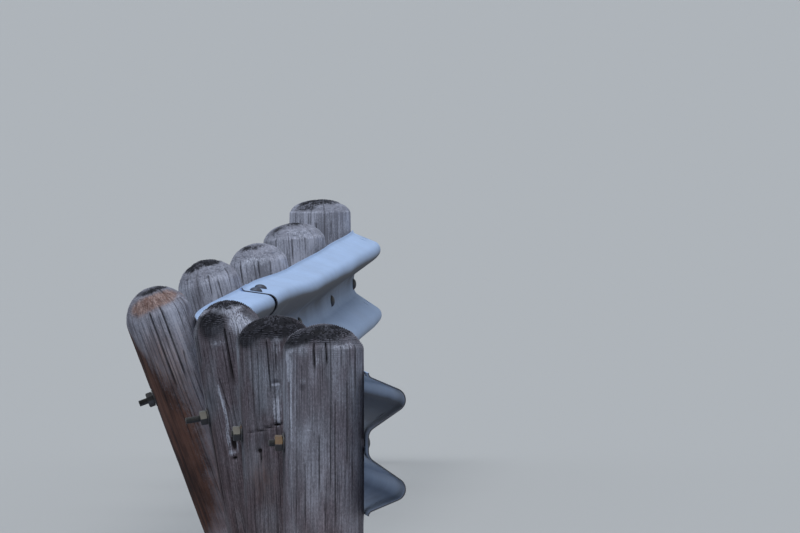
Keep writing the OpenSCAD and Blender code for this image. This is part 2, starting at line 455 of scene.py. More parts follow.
def open_splits(i, rng, rho, z, columns):
    """The angle of every ring's columns, how deep the splits take them, and how dark they are
    painted as shade.
    """
    cell, rings = math.tau / columns, len(z)
    wander = 0.012 * uneven(rng, HEAD[i] - z, 1, 0.09, 1)[:, 0]
    knots, angles, deep = [], [], []
    for column, widest_cells, (line, gap, depth, high, low) in choose_splits(
            lay_splits(i, rng, z), rings, cell, RADIUS[i]):
        taper = min(0.05, (high - low) / 3)
        strength = step_up(z, low, low + taper) * (1 - step_up(z, high - 0.3 * taper, high))
        strength = strength * (0.8 + 0.2 * uneven(rng, HEAD[i] - z, 1, 0.02, 1)[:, 0])
        wide = np.minimum(gap / 1000 / np.maximum(rho, 1e-4), widest_cells * cell)
        half = strength * wide + (1 - strength) * cell
        line = line + wander
        knots += [column - 1, column, column + 1]
        angles += [line - half, line, line + half]
        deep.append((column, gap, depth / 1000, strength))
    # No two columns may meet, or the mesh would have points in the same place.
    least = LEAST_ANGLE * np.arange(len(angles))[:, None]
    angles = np.maximum.accumulate(np.array(angles) - least, axis=0) + least
    knots = np.array(knots)
    knots = np.concatenate([knots[-3:] - columns, knots, knots[:3] + columns])
    angles = np.concatenate([angles[-3:] - math.tau, angles, angles[:3] + math.tau])
    every = np.arange(columns)
    turned = np.array([np.interp(every, knots, angles[:, j]) for j in range(rings)])
    depth, dark = np.zeros((rings, columns)), np.zeros((rings, columns))
    # Painted shade in the splits: darkest on the floor, less on the lips.
    for column, gap, most, strength in deep:
        depth[:, column] = np.minimum(most, 0.7 * rho) * strength
        dark[:, column] = strength * min(1, 0.35 + most / 0.012)
        for beside in (column - 1, column + 1):
            depth[:, beside] = BESIDE_DEPTH * strength
            dark[:, beside] = (0.45 if gap > 1.4 else 0.2) * dark[:, column]
    return turned, depth, dark


# %% [markdown]
# ## Marks on the wood
# The photograph shows where the ends are charred black, where rain has bleached the grain, where red
# and tan stains run down, where a pale bloom has grown, and where wood is missing. Each is a soft
# patch with a centre in the picture, a width and a height in pixels and a strength. The shadows
# beside the nuts and down the first post's left edge are painted in the same black as the char, and
# the hollows are painted dark for the shade in them. Each patch becomes a number on the vertices
# near that point of the log, which the timber's material reads, so it looks right from any side. A
# last number tells how silver the whole post has gone.

# %% Patches, post by post
# Some char patches are painted shadow: (284, 420) down the first post's left edge, and (284, 442),
# (242, 437) and (209, 418) beside the nuts of the first three posts.
PATCHES = [
    {"char_and_shadow": [(340, 328, 26, 4, 1.2), (318, 334, 34, 10, 0.8), (289, 341, 17, 8, 1.3),
              (322, 330, 14, 5, 0.6), (302, 387, 6, 5, 0.5), (284, 420, 1.5, 60, 0.5),
              (284, 442, 2.5, 9, 0.9)],
     "stain": [(341, 331, 11, 3, 0.6)],
     "bloom": [(320, 331, 14, 5, 1.2), (296, 337, 8, 4, 0.6)],
     "bleach": [(327, 326.5, 4, 1.2, 1.5), (332, 330, 1.5, 2, 1.2), (350, 342, 9, 6, 0.6),
                (340, 347, 16, 4, 0.6), (290, 350, 5, 2, 1.8), (303, 351, 14, 8, 0.6),
                (286, 357, 3, 5, 2.0), (288.5, 368, 3.2, 12, 2.2), (291, 400, 2.2, 34, 1.3),
                (291.5, 460, 1.8, 40, 0.4), (318, 362, 5, 9, 0.6), (303, 381, 5, 5, 0.6),
                (309, 430, 6, 0.9, 1.0)]},
    {"char_and_shadow": [(268, 324, 38, 14, 1.8), (244, 338, 13, 10, 1.2), (300, 332, 14, 8, 1.0),
              (275.5, 381, 5, 2.2, 0.8), (262, 405, 12, 22, 0.35), (262, 440, 14, 12, 0.4),
              (242, 437, 4, 9, 0.9)],
     "bleach": [(267, 313, 8, 1.5, 1.2), (277, 337, 7, 5, 1.0), (276, 350, 7, 10, 0.6),
                (277, 410, 4.5, 16, 1.3), (276, 384.5, 5, 1.0, 1.2)],
     "hollow": [(277, 424.5, 5, 1.2, 1.1), (269, 427.5, 6, 1.0, 0.8), (260, 431, 7, 0.9, 0.65),
                (250, 432.5, 6, 0.8, 0.5), (258, 451, 3, 2, 1.1), (260, 458, 1.2, 8, 0.8)],
     "stain": [(262, 480, 24, 34, 0.6)]},
    {"char_and_shadow": [(211, 325, 17, 14, 1.15), (205, 319, 9, 7, 0.8), (243, 299, 32, 4, 1.6),
              (206, 305, 12, 3, 1.2), (250, 304, 12, 6, 0.8), (228.5, 307.5, 3, 1.2, 0.8),
              (211, 400, 10, 18, 0.6), (209, 418, 4, 9, 0.9)],
     "bleach": [(227, 307, 15, 5, 2.2), (203, 311, 6, 5, 2.2), (238, 321, 12, 13, 1.5),
                (250, 326, 6, 8, 0.8), (218, 343, 12, 4, 0.7), (190, 336, 4, 10, 0.6),
                (219, 392, 1.5, 8, 1.2), (223, 403, 1.8, 9, 1.2), (227, 420, 1.6, 12, 1.1),
                (228, 438, 1.8, 12, 1.4), (232, 453, 5, 3, 0.9), (237, 445, 1.5, 7, 0.9)],
     "hollow": [(233, 443, 3, 7, 1.5), (234, 458, 3, 2, 1.2)],
     # The stain low on the third post, (205, 470), is partly painted shade near the ground.
     "stain": [(205, 470, 24, 45, 0.75), (212, 430, 10, 30, 0.4)]},
    {"tan": [(150, 302, 19, 7, 1.7), (167, 295, 15, 6, 1.6), (138, 310, 9, 6, 1.0),
             (187, 291, 8, 4, 1.3), (160, 350, 44, 50, 0.45), (180, 400, 40, 60, 0.5)],
     "bleach": [(176, 296, 10, 2.5, 1.4), (186, 300, 2, 7, 0.9), (172, 325, 20, 14, 0.5),
                (196, 385, 3, 22, 0.6)],
     "char_and_shadow": [(163, 285, 26, 2.5, 1.4)],
     "stain": [(130, 342, 8, 18, 1.1), (135, 354, 12, 18, 1.2), (141, 370, 19, 24, 1.7),
               (149, 395, 25, 30, 1.9), (158, 425, 30, 38, 1.9), (170, 460, 38, 45, 1.8),
               (185, 505, 42, 40, 1.8), (190, 410, 26, 60, 0.5)]},
    {"char_and_shadow": [(207, 260, 30, 4, 1.4), (190, 268, 9, 4, 1.1)],
     "bleach": [(215, 280, 22, 12, 0.6)]},
    {"char_and_shadow": [(247, 247, 20, 3, 0.7), (240, 256, 16, 6, 0.25)],
     "bleach": [(252, 262, 20, 9, 1.0), (276, 246, 3, 2, 0.8)]},
    {"char_and_shadow": [(298, 221, 30, 4, 0.9), (276, 230, 14, 6, 0.5)],
     "bleach": [(300, 234, 16, 5, 0.8)]},
    {"char_and_shadow": [(318, 200, 34, 4, 0.9), (304, 207, 16, 6, 0.5)],
     "bleach": [(322, 215, 16, 5, 0.5)]},
]
MARKS = ("char_and_shadow", "bleach", "stain", "tan", "bloom", "hollow")
SILVER = [0.26, 0.02, 0.04, 0.64, 0.78, 0.96, 1.00, 0.96]
print("patches on each post:", [sum(map(len, p.values())) for p in PATCHES])


# %% Soft patches on a log
def patch_weights(i, points):
    """How strongly each kind of mark shows at points of post i, given in its own frame."""
    size = pixel_size(i)
    marks = {kind: np.zeros(points.shape[:-1]) for kind in MARKS}
    for kind, patches in PATCHES[i].items():
        for px, py, wide, tall, strength in patches:
            off = points - np.array(on_log(i, px, py))
            across = np.hypot(off[..., 0], off[..., 1]) / (wide * size)
            marks[kind] += strength * np.exp(-across**2 - (off[..., 2] / (tall * size)) ** 2)
    return marks


# %% [markdown]
# ## Weathering a log
# All of it comes together ring by ring: splits first, because they move the columns, then long
# ridges, slow unevenness, the rings of the rounded end, its chips, and hollows. The rings keep an
# even pitch along the outline, as a tool's marks do. Wood is only ever taken away, so the log
# stays inside its plain solid. Two places stay true: the line where the rail bears on the front,
# and the flat seat that is cut at the back for the washer.

# %% Ridges, tool rings and chips
RING_PITCH = 0.0047
END_WEAR = [0.0030, 0.0030, 0.0028, 0.0022, 0.0028, 0.0022, 0.0024, 0.0024]


def wear(i, noise, along, cap):
    """How deep each vertex is worn, how deep in a groove it lies, and how far along the outline."""
    columns = log_style(i)["columns"]
    ridges = 0.00045 * noise(0.07, columns // 2) + 0.0003 * noise(0.16, columns // 7)
    slow = 0.0010 * noise(0.16, 7) + 0.0005 * noise(0.05, 15)
    arc = along[:, None] + 0.0022 * noise(0.05, 7) + 0.0007 * noise(0.012, 40)
    tooth = 0.5 + 0.5 * np.cos(math.tau * arc / RING_PITCH)
    whole = step_up(noise(0.006, columns // 3), -0.7, 0.2) * step_up(noise(0.02, 22), -0.8, 0.0)
    groove = 1 - tooth * whole
    chips = step_up(noise(0.010, columns // 3), 0.1, 0.7)
    chips = chips + 0.8 * step_up(noise(0.022, 16), 0.1, 0.6)
    worn = 0.0005 + ridges * (1 - 0.5 * cap) + slow + END_WEAR[i] * (groove + chips) * cap
    return worn, cap * groove + (1 - cap) * (0.5 + ridges / 0.0024), arc


# %% The two places that stay true
SEAT_RADIUS = 0.025


def seat_depth(i):
    return math.sqrt(RADIUS[i] ** 2 - SEAT_RADIUS**2)


def true_front(angle, z, depth):
    """Takes next to nothing off the line where the rail bears on the front."""
    bearing = step_up(-np.sin(angle), 0.93, 0.985) * step_up(0.175 - np.abs(z[:, None]), 0, 0.02)
    return depth * (1 - bearing) + 0.0002 * bearing


def cut_seat(i, points, moved, sound):
    """Cuts the washer's flat at the back, where sound wood reaches it and splits don't."""
    in_seat = (points[..., 1] > 0) & (np.hypot(points[..., 0], points[..., 2]) < SEAT_RADIUS)
    flat, back = seat_depth(i), moved[..., 1]
    moved[..., 1] = np.where(in_seat, np.where(sound, flat, np.minimum(flat, back)), back)


# %% Vectors on the rings, and rust below the bolt
def on_rings(reach, angle, height):
    """A vector for every vertex, from its ring's reach and height and its own angle."""
    return np.stack([reach[:, None] * np.cos(angle), reach[:, None] * np.sin(angle),
                     np.broadcast_to(height[:, None], angle.shape)], axis=-1)


def rust_run(points, z):
    """Where rain has carried rust down from the bolt at the back."""
    below_bolt = np.exp(-(points[..., 0] / 0.022) ** 2) * (points[..., 1] > 0)
    return below_bolt * step_up(-z[:, None], -0.03, 0.01) * step_up(0.16 + z[:, None], 0, 0.12)


# %% Wear a log down, ring by ring
ARC_UNITS = 40


def worn_log(i, z, rho, columns):
    """Every vertex of a log before and after its wear, and the numbers that its material reads."""
    rng = np.random.default_rng(410 + i)
    along = np.concatenate([[0], np.cumsum(np.hypot(np.diff(z), np.diff(rho)))])
    out, up = rho / RADIUS[i] ** 2, np.maximum(z - RIM[i], 0) / RISE[i] ** 2
    out, up = out / np.hypot(out, up), up / np.hypot(out, up)
    angle, depth, dark = open_splits(i, rng, rho, z, columns)

    def noise(cell, cells):
        return uneven(rng, along, columns, cell, cells)

    cap = step_up(up, 0.05, 0.60)[:, None]
    worn, groove, arc = wear(i, noise, along, cap)
    points = on_rings(rho, angle, z)
    marks = patch_weights(i, points)
    hollow = 0.009 * np.clip(marks["hollow"], 0, 1.5) * (1 + 0.5 * noise(0.006, columns // 4))
    depth += worn + hollow
    moved = points - true_front(angle, z, depth)[..., None] * on_rings(out, angle, up)
    cut_seat(i, points, moved, dark < 0.3)
    moved[0] = (0, 0, moved[0, :, 2].mean())
    marks["char_and_shadow"] += 0.75 * rust_run(points, z)
    shoulder = step_up(z, RIM[i] - 0.040, RIM[i] + 0.004)[:, None]
    # Browner and darker towards the foot: damp, and painted shade near the ground.
    damp = 1 - step_up(z, z[-1], z[-1] + 0.70)[:, None]
    marks.update(split=dark, cap=cap, shoulder=shoulder, groove=groove, arc=ARC_UNITS * arc,
                 silver=SILVER[i], damp=damp)
    return points, moved, marks


# %% Write it on the mesh
MOST_VALUE, GRAIN_APART = 9, np.array([0, 0, 3.7])


def nearest(levels, values):
    """Index of the nearest of some falling levels for each value."""
    rising = levels[::-1]
    right = np.clip(np.searchsorted(rising, values), 1, len(rising) - 1)
    left = right - 1
    pick = np.where(values - rising[left] < rising[right] - values, left, right)
    return len(levels) - 1 - pick


def weather(i, mesh, outline):
    """Moves the vertices of a turned log and writes what its material reads on them."""
    columns, (z, rho) = log_style(i)["columns"], outline.T
    points, moved, marks = worn_log(i, z, rho, columns)
    old = coordinates(mesh)
    column = np.rint(np.arctan2(old[:, 1], old[:, 0]) * columns / math.tau).astype(int) % columns
    row = nearest(z, old[:, 2])
    move_points(mesh, moved[row, column])
    for kind, values in marks.items():
        values = np.broadcast_to(values, moved.shape[:2])
        values = np.where(row == 0, values[0].mean(), values[row, column])
        write_values(mesh, kind, np.clip(values, 0, MOST_VALUE))
    spread = np.maximum(rho[row] / RADIUS[i], 0.02) ** -0.6
    grain = points[row, column] * np.stack([spread, spread, np.ones(len(row))], axis=-1)
    write_values(mesh, "grain", grain + i * GRAIN_APART)


# %% [markdown]
# ## Materials: small steps
# A node tree written in code stays readable if each node is one line. One helper makes a node of
# any kind, links or sets its inputs, and hands back an output. The short ones after it are the
# nodes that the finishes use again and again, under names that say what they do.

# %% Make a node in one line
def put(socket, value):
    """Links an output to a socket, or sets the socket's own value."""
    if isinstance(value, bpy.types.NodeSocket):
        socket.id_data.links.new(value, socket)
    else:
        socket.default_value = (*value, 1) if socket.type == "RGBA" and len(value) == 3 else value


def node(tree, kind, inputs, output=0, **settings):
    made = tree.nodes.new("ShaderNode" + kind)
    for name, value in settings.items():
        setattr(made, name, value)
    for key, value in inputs.items():
        put(made.inputs[key], value)
    return made.outputs[output]


# %% Numbers
def attribute(tree, name, output="Fac"):
    return node(tree, "Attribute", {}, output, attribute_name=name)


def sums(tree, operation, *values, clamp=False):
    return node(tree, "Math", dict(enumerate(values)), operation=operation, use_clamp=clamp)


def times(tree, a, b):
    return sums(tree, "MULTIPLY", a, b)


def weighed(tree, *pairs):
    """The sum of some values, each times its weight."""
    total = 0.0
    for value, weight in pairs:
        total = sums(tree, "MULTIPLY_ADD", value, weight, total)
    return total


def between(tree, value, low, high):
    """0 below low, 1 above high and smooth between."""
    return node(tree, "MapRange", {"Value": value, "From Min": low, "From Max": high},
                interpolation_type="SMOOTHSTEP")


def blend(tree, share, a, b):
    return node(tree, "Mix", {0: share, 2: a, 3: b})


# %% Patterns and colours
def stretched(tree, vector, scale):
    return node(tree, "Mapping", {"Vector": vector, "Scale": scale})


def cloudy(tree, vector, scale, detail=3.0, rough=0.5, warp=0.0):
    return node(tree, "TexNoise", {"Vector": vector, "Scale": scale, "Detail": detail,
                                   "Roughness": rough, "Distortion": warp})


def colours(tree, value, *stops):
    ramp = tree.nodes.new("ShaderNodeValToRGB")
    put(ramp.inputs[0], value)
    elements = ramp.color_ramp.elements
    while len(elements) < len(stops):
        elements.new(1)
    for element, (place, colour) in zip(elements, stops):
        element.position, element.color = place, (*colour, 1)
    return ramp.outputs[0]


def mixed(tree, share, a, b, kind="MIX"):
    return node(tree, "Mix", {0: share, 6: a, 7: b}, 2, data_type="RGBA", blend_type=kind)


# %% Start and finish a material
def new_material(name, metallic, specular, roughness=0.6):
    material = bpy.data.materials.new(name)
    material.use_nodes = True
    shader = material.node_tree.nodes["Principled BSDF"]
    for socket, value in (("Metallic", metallic), ("Specular IOR Level", specular),
                          ("Roughness", roughness)):
        shader.inputs[socket].default_value = value
    return material, material.node_tree, shader


def bump(tree, shader, height, strength, distance):
    put(shader.inputs["Normal"], node(tree, "Bump", {"Strength": strength, "Distance": distance,
                                                     "Height": height}))


print("node helpers ready")


# %% [markdown]
# ## Weathered timber
# Old timber outdoors turns silver grey, with a touch of lilac in open shade. The grain is drawn as
# noise that is squeezed across the log and stretched along it: slow bands, streaks, and hairlines
# where a stretched noise passes through its middle value. It follows a coordinate that was stored
# on each vertex before the wood was worn, so it runs along a leaning post. On the end and on its
# shoulder the marks of the tool run round instead, at the same pitch as the relief that was cut
# for them.

# %% Hairlines and scored rings
def thin_lines(tree, grain, scale, width):
    field = cloudy(tree, stretched(tree, grain, (1, 1, 0.012)), scale, 1, 0.5)
    off = sums(tree, "ABSOLUTE", sums(tree, "SUBTRACT", field, 0.5))
    here = cloudy(tree, stretched(tree, grain, (1, 1, 0.08)), 0.4 * scale, 1, 0.5)
    return times(tree, between(tree, off, width, 0.0), between(tree, here, 0.46, 0.66))


def hairlines(tree, grain, p):
    lines = sums(tree, "MAXIMUM", thin_lines(tree, grain, 80, 0.012),
                 thin_lines(tree, grain, 210, 0.026))
    return times(tree, lines, weighed(tree, (p["cap"], -0.35), (p["silver"], -0.35), (1.0, 0.72)))


def scored_rings(tree, p):
    """Thin broken rings at the pitch of the relief, on the end and on its shoulder."""
    turns = weighed(tree, (p["arc"], math.tau / (ARC_UNITS * RING_PITCH)), (p["blotch"], 9.0))
    ring = between(tree, sums(tree, "SINE", turns), 0.1, -0.9)
    scored = times(tree, ring, between(tree, p["blotch"], 0.42, 0.58))
    scored = times(tree, scored, between(tree, p["mottle"], 0.38, 0.62))
    share = weighed(tree, (p["shoulder"], 1.0), (p["silver"], -0.7))
    return sums(tree, "MULTIPLY", scored, share, clamp=True)


# %% Patterns along the grain
# Each pattern's scale, its stretch, and the detail and roughness of its noise
PATTERNS = {
    "slow": (14, (1, 1, 0.45), 3, 0.55), "bands": (90, (1, 1, 0.03), 3, 0.55),
    "streaks": (330, (1, 1, 0.030), 3, 0.65), "mottle": (300, (1, 1, 0.55), 4, 0.7),
    "spots": (380, (1, 1, 1), 2, 0.6), "blotch": (60, (1, 1, 0.6), 5, 0.7),
}
READ = ("cap", "shoulder", "split", "groove", "arc", "silver", "damp")


def timber_patterns(tree):
    """Every value that the timber's colours are mixed by, under its name."""
    grain = attribute(tree, "grain", "Vector")
    p = {name: attribute(tree, name) for name in READ}
    for name, (scale, stretch, detail, rough) in PATTERNS.items():
        p[name] = cloudy(tree, stretched(tree, grain, stretch), scale, detail, rough)
    p["lines"] = hairlines(tree, grain, p)
    p["scored"] = scored_rings(tree, p)
    p["fibres"] = blend(tree, p["cap"], p["streaks"], p["mottle"])
    along = weighed(tree, (p["slow"], 0.66), (p["bands"], 0.26), (p["streaks"], 0.50),
                    (p["mottle"], 0.50), (p["groove"], 0.08), (1.0, -0.52))
    on_end = weighed(tree, (p["blotch"], 0.34), (p["mottle"], 0.34), (p["groove"], -0.20),
                     (1.0, 0.22))
    p["wood"] = blend(tree, times(tree, p["cap"], 0.85), along, on_end)
    return p


# %% [markdown]
# ## Bare wood and its marks
# The bare wood runs from dark to silver by its pattern, warmer in some bands than in others, and the
# posts at the far end have gone paler. The foot of each post is browner and darker: damp, and
# painted shade near the ground. Each mark is laid over it with edges that break up along the fibres,
# as a real stain's do: bleached fibres, tan and red stains, a pale bloom, and charred rings, with
# painted shadows in the same black.

# %% Bare wood
def bare_wood(tree, p):
    wood = colours(tree, p["wood"], (0.32, (0.058, 0.054, 0.061)), (0.45, (0.108, 0.104, 0.120)),
                   (0.55, (0.162, 0.158, 0.182)), (0.70, (0.290, 0.290, 0.335)))
    tint = colours(tree, p["slow"], (0.38, (1.12, 0.97, 0.98)), (0.50, (1.0, 0.99, 1.0)),
                   (0.62, (0.95, 1.0, 1.02)))
    wood = mixed(tree, 1.0, wood, tint, "MULTIPLY")
    silvered = mixed(tree, between(tree, p["wood"], 0.36, 0.64), (0.205, 0.208, 0.250),
                     (0.450, 0.460, 0.550))
    wood = mixed(tree, p["silver"], wood, silvered)
    # Painted shade and damp near the foot: browner and darker.
    brown = mixed(tree, 1.0, wood, (0.74, 0.54, 0.47), "MULTIPLY")
    damp_and_shade_share = times(tree, p["damp"], sums(tree, "MULTIPLY_ADD", p["blotch"], 1.2, 0.3))
    wood = mixed(tree, damp_and_shade_share, wood, brown)
    return mixed(tree, times(tree, p["scored"], 0.6), wood, (0.030, 0.030, 0.036))


# %% How far a mark covers the wood
def mark_share(tree, p, name, low, high, most=1.0, dips=-0.3):
    """A mark's number, broken up by the fibres and by the grooves, as a share of colour."""
    broken = weighed(tree, (p["fibres"], 1.4), (p["mottle"], 1.4), (p["blotch"], 1.0),
                     (p["groove"], 1.6 * dips), (p["scored"], 1.2 * dips), (1.0, -0.9 - 0.8 * dips))
    value = times(tree, attribute(tree, name), broken)
    return times(tree, between(tree, value, low, high), most)


# %% Marks over the wood
# In the order in which they lie on the wood: the patterns that mix a mark's two colours, with
# their weights and range, the two colours, and the range, most and dips of its share
LAYERS = {
    "bleach": ({"fibres": 0.5, "mottle": 0.5}, (0.38, 0.62),
               (0.23, 0.235, 0.285), (0.52, 0.54, 0.63), (0.25, 1.10, 0.80)),
    "tan": ({"bands": 0.3, "streaks": 0.5, "slow": 0.2}, (0.42, 0.66),
            (0.150, 0.074, 0.050), (0.400, 0.285, 0.250), (0.20, 1.30, 0.80, 0.0)),
    "stain": ({"slow": 0.45, "bands": 0.35, "streaks": 0.2}, (0.40, 0.58),
              (0.020, 0.010, 0.009), (0.102, 0.044, 0.028), (0.15, 1.20, 0.94, 0.0)),
    "bloom": ({"spots": 1.0}, (0.45, 0.65),
              (0.060, 0.055, 0.045), (0.30, 0.27, 0.19), (0.25, 0.90, 0.6)),
    # Char, rust run down from the bolts, and painted shadow, all in one black.
    "char_and_shadow": ({"wood": 1.0, "groove": -0.24, "scored": -0.10}, (0.22, 0.60),
             (0.009, 0.009, 0.012), (0.090, 0.090, 0.110), (0.12, 0.85, 0.96, 0.35)),
}


def marked_wood(tree, p, wood):
    for name, (weights, (low, high), dark, pale, share) in LAYERS.items():
        pattern = weighed(tree, *((p[part], weight) for part, weight in weights.items()))
        colour = mixed(tree, between(tree, pattern, low, high), dark, pale)
        wood = mixed(tree, mark_share(tree, p, name, *share), wood, colour)
    return wood


# %% The timber's material
def make_timber():
    material, tree, shader = new_material("weathered_timber", 0, 0.15)
    p = timber_patterns(tree)
    wood = marked_wood(tree, p, bare_wood(tree, p))
    wood = mixed(tree, p["lines"], wood, (0.020, 0.018, 0.022))
    # Painted shade in the hollows: near black where wood is missing.
    wood = mixed(tree, mark_share(tree, p, "hollow", 0.35, 0.80, 0.92), wood,
                 (0.012, 0.009, 0.009))
    # Painted shade in the splits, near black, paler on the silver posts.
    in_split = mixed(tree, times(tree, p["silver"], 0.4), (0.006, 0.005, 0.006),
                     (0.080, 0.080, 0.095))
    wood = mixed(tree, sums(tree, "POWER", p["split"], 0.8, clamp=True), wood, in_split)
    put(shader.inputs["Base Color"], wood)
    put(shader.inputs["Roughness"], sums(tree, "MULTIPLY_ADD", p["streaks"], 0.25, 0.72))
    height = weighed(tree, (p["wood"], 0.8), (p["lines"], -0.5), (p["spots"], 0.35),
                     (p["streaks"], 0.4), (p["scored"], -0.30))
    bump(tree, shader, height, 0.8, 0.0020)
    return material


timber = make_timber()
print("timber:", len(timber.node_tree.nodes), "nodes")


# %% [markdown]
# ## The eight posts
# A leaning log still ends level at its foot, so it is made too long, stood in its place, and
# everything below height zero is cut away with a bisecting plane. The cut is closed, and the faces
# are made triangles so that every program shades them the same.

# %% Turn, weather and stand each post
def stand_post(i):
    mesh, outline = turned_log(i)
    weather(i, mesh, outline)
    mesh.transform(post_frame(i))
    bm = to_bmesh(mesh)
    cut = bmesh.ops.bisect_plane(bm, geom=everything(bm), plane_co=(0, 0, 0),
                                 plane_no=(0, 0, -1), clear_outer=True)
    foot_line = [e for e in cut["geom_cut"] if isinstance(e, bmesh.types.BMEdge)]
    bmesh.ops.holes_fill(bm, edges=foot_line, sides=0)
    bmesh.ops.triangulate(bm, faces=bm.faces[:])
    state = closed_or_open(bm)
    fill_mesh(bm, mesh)
    name = f"post_{i + 1}"
    as_piece(f"timber_{name}", mesh, timber, "weathered_timber", name)
    print(name, triangles(mesh), "triangles,", state)


for i in range(POSTS):
    stand_post(i)

# %% [markdown]
# ## The rail's section
# The rail is one steel sheet, rolled cold into a W: a valley that bears on the posts, two crests
# in front and two lips turned back. A roll former bends it by arcs, and a vertex can be led the
# same way: straight, round an arc, straight, for one half, and a mirror makes the other.

# %% Sizes of the sheet
RAIL_H, RAIL_DEPTH, SHEET = 0.311, 0.083, 0.0027
BEND, LIP = 0.025, 0.012
CREST = (RAIL_DEPTH - SHEET / 2 - BEND, 0.194 / 2)
VALLEY = (SHEET / 2 + BEND, 0.030 / 2)
LIP_AT = (SHEET / 2 + LIP, RAIL_H / 2)


def wall_turn(out, up, radii):
    return math.atan2(out, up) + math.asin(radii / math.hypot(out, up))


INNER = wall_turn(CREST[0] - VALLEY[0], CREST[1] - VALLEY[1], 2 * BEND)
OUTER = wall_turn(CREST[0] - LIP_AT[0], LIP_AT[1] - CREST[1], BEND + LIP)
LAP, LAP_RUN = 0.318, 0.480
LAP_STEP = (SHEET + FIT) / math.cos(OUTER)
print("walls turn", round(math.degrees(INNER), 1), "and", round(math.degrees(OUTER), 1), "degrees")


# %% Draw half the W and mirror it
def around(centre, radius, angle):
    out, up = centre
    return Vector((0, -(out + radius * math.cos(angle)), up - radius * math.sin(angle)))


def w_section():
    bm = bmesh.new()
    x = (1, 0, 0)
    end = bm.verts.new((0, -SHEET / 2, 0))
    end = draw_to(bm, end, (0, -SHEET / 2, VALLEY[1]), 2)
    end = draw_arc(bm, end, (0, -VALLEY[0], VALLEY[1]), x, INNER, 5)
    end = draw_to(bm, end, around(CREST, BEND, INNER), 4)
    end = draw_arc(bm, end, (0, -CREST[0], CREST[1]), x, -(INNER + OUTER), 12)
    end = draw_to(bm, end, around(LIP_AT, -LIP, -OUTER), 3)
    end = draw_arc(bm, end, (0, -LIP_AT[0], LIP_AT[1]), x, OUTER, 5)
    print("lip ends at", tuple(round(1000 * c, 1) for c in end.co), "mm")
    bmesh.ops.mirror(bm, geom=bm.verts[:] + bm.edges[:], axis="Z", merge_dist=1e-6)
    bmesh.ops.remove_doubles(bm, verts=bm.verts[:], dist=1e-6)
    return bm


# %% [markdown]
# ## The line that the rail follows
# The sheet was straight before the blow. Now it follows a smooth curve through the points where
# its valley bears on the posts, and rolls with their lean. The curve is the same piecewise cubic
# as the solids use: each post gives a point, a direction and the side that it faces.

# %% A seat, an outward side and a direction at each post
def unit(v):
    return v / np.linalg.norm(v, axis=-1, keepdims=True)


def climb(i):
    return (BOLTS[min(i + 1, LAST)].z - BOLTS[max(i - 1, 0)].z) / (2 * BAY)


TURNS = [np.array(post_frame(i).to_3x3()) for i in range(POSTS)]
OUTWARD = np.array([-turn[:, 1] for turn in TURNS])
SEATS = np.array(BOLTS) + (np.array(RADIUS) + FIT)[:, None] * OUTWARD
PULL = np.array([BAY * (TURNS[i][:, 0] / math.cos(HEADING[i]) + climb(i) * TURNS[i][:, 2])
                 for i in range(POSTS)])


# %% The curve through them
def follow(p):
    """Place, direction, outward and upward of the rail at distances p, counted in bays."""
    p = np.asarray(p, float)
    i = np.clip(np.floor(p).astype(int), 0, LAST - 1)
    t = np.clip(p - i, 0, 1)[:, None]
    s, i1 = 1 - t, i + 1
    place = (s * s * (1 + 2 * t) * SEATS[i] + t * s * s * PULL[i]
             + t * t * (1 + 2 * s) * SEATS[i1] - t * t * s * PULL[i1])
    ahead = unit(6 * t * s * (SEATS[i1] - SEATS[i]) + s * (1 - 3 * t) * PULL[i]
                 - t * (2 - 3 * t) * PULL[i1])
    beyond = (p - np.clip(p, 0, LAST))[:, None]
    place = place + beyond * np.where(beyond < 0, PULL[0], PULL[LAST])
    ease = t * t * (3 - 2 * t)
    out = (1 - ease) * OUTWARD[i] + ease * OUTWARD[i1]
    out = unit(out - (out * ahead).sum(-1, keepdims=True) * ahead)
    return place, ahead, out, np.cross(out, ahead)


# %% A frame anywhere on the rail
def rail_frame(p):
    """A frame on the rail's back, with x along it, y away from the front and z up its section."""
    place, ahead, out, up = (v[0] for v in follow([p]))
    frame_at = Matrix.Identity(4)
    for column, v in enumerate((ahead, -out, up, place)):
        for row in range(3):
            frame_at[row][column] = v[row]
    return frame_at


print("rail's end direction", [round(float(v), 3) for v in follow([LAST])[1][0]])

# %% [markdown]
# ## Rolling, punching and bending the sheet
# The real sheet is rolled straight, punched, galvanised and only bent by the blow, and the lesson
# keeps that order because each step is simplest there. The section is extruded along x and cut
# into short lengths, a Solidify modifier gives it its thickness, and cutters punch the slots with
# a boolean. Then every point is carried onto the curve. A few shallow dents come with it. A
# boolean leaves some points in the same place along its cuts, so they are merged before the sheet
# is kept.

# %% A bar that punches a slot
POST_SLOT, LAP_SLOT, LAP_PITCH = (0.019, 0.064), (0.023, 0.029), 0.216
THROUGH = 0.03


def slot_cutter(bm, size, place):
    """An obround bar through the sheet: a disc whose halves are drawn apart, then extruded."""
    wide, long = size
    disc = bmesh.ops.create_circle(bm, cap_ends=True, radius=wide / 2, segments=24)
    for v in disc["verts"]:
        v.co.x += math.copysign((long - wide) / 2, v.co.x) if abs(v.co.x) > 1e-6 else 0
    faces = list({f for v in disc["verts"] for f in v.link_faces})
    top = verts_of(bmesh.ops.extrude_face_region(bm, geom=faces)["geom"])
    bmesh.ops.translate(bm, vec=(0, 0, THROUGH), verts=top)
    every = disc["verts"] + top
    bmesh.ops.translate(bm, vec=(0, 0, -THROUGH / 2), verts=every)
    bmesh.ops.transform(bm, matrix=place @ Matrix.Rotation(math.pi / 2, 4, "X"), verts=every)


# %% Slots that are to be punched
INNER_WALL = (around(VALLEY, -BEND, INNER) + around(CREST, BEND, INNER)) / 2
OUTER_WALL = (around(CREST, BEND, -OUTER) + around(LIP_AT, -LIP, -OUTER)) / 2


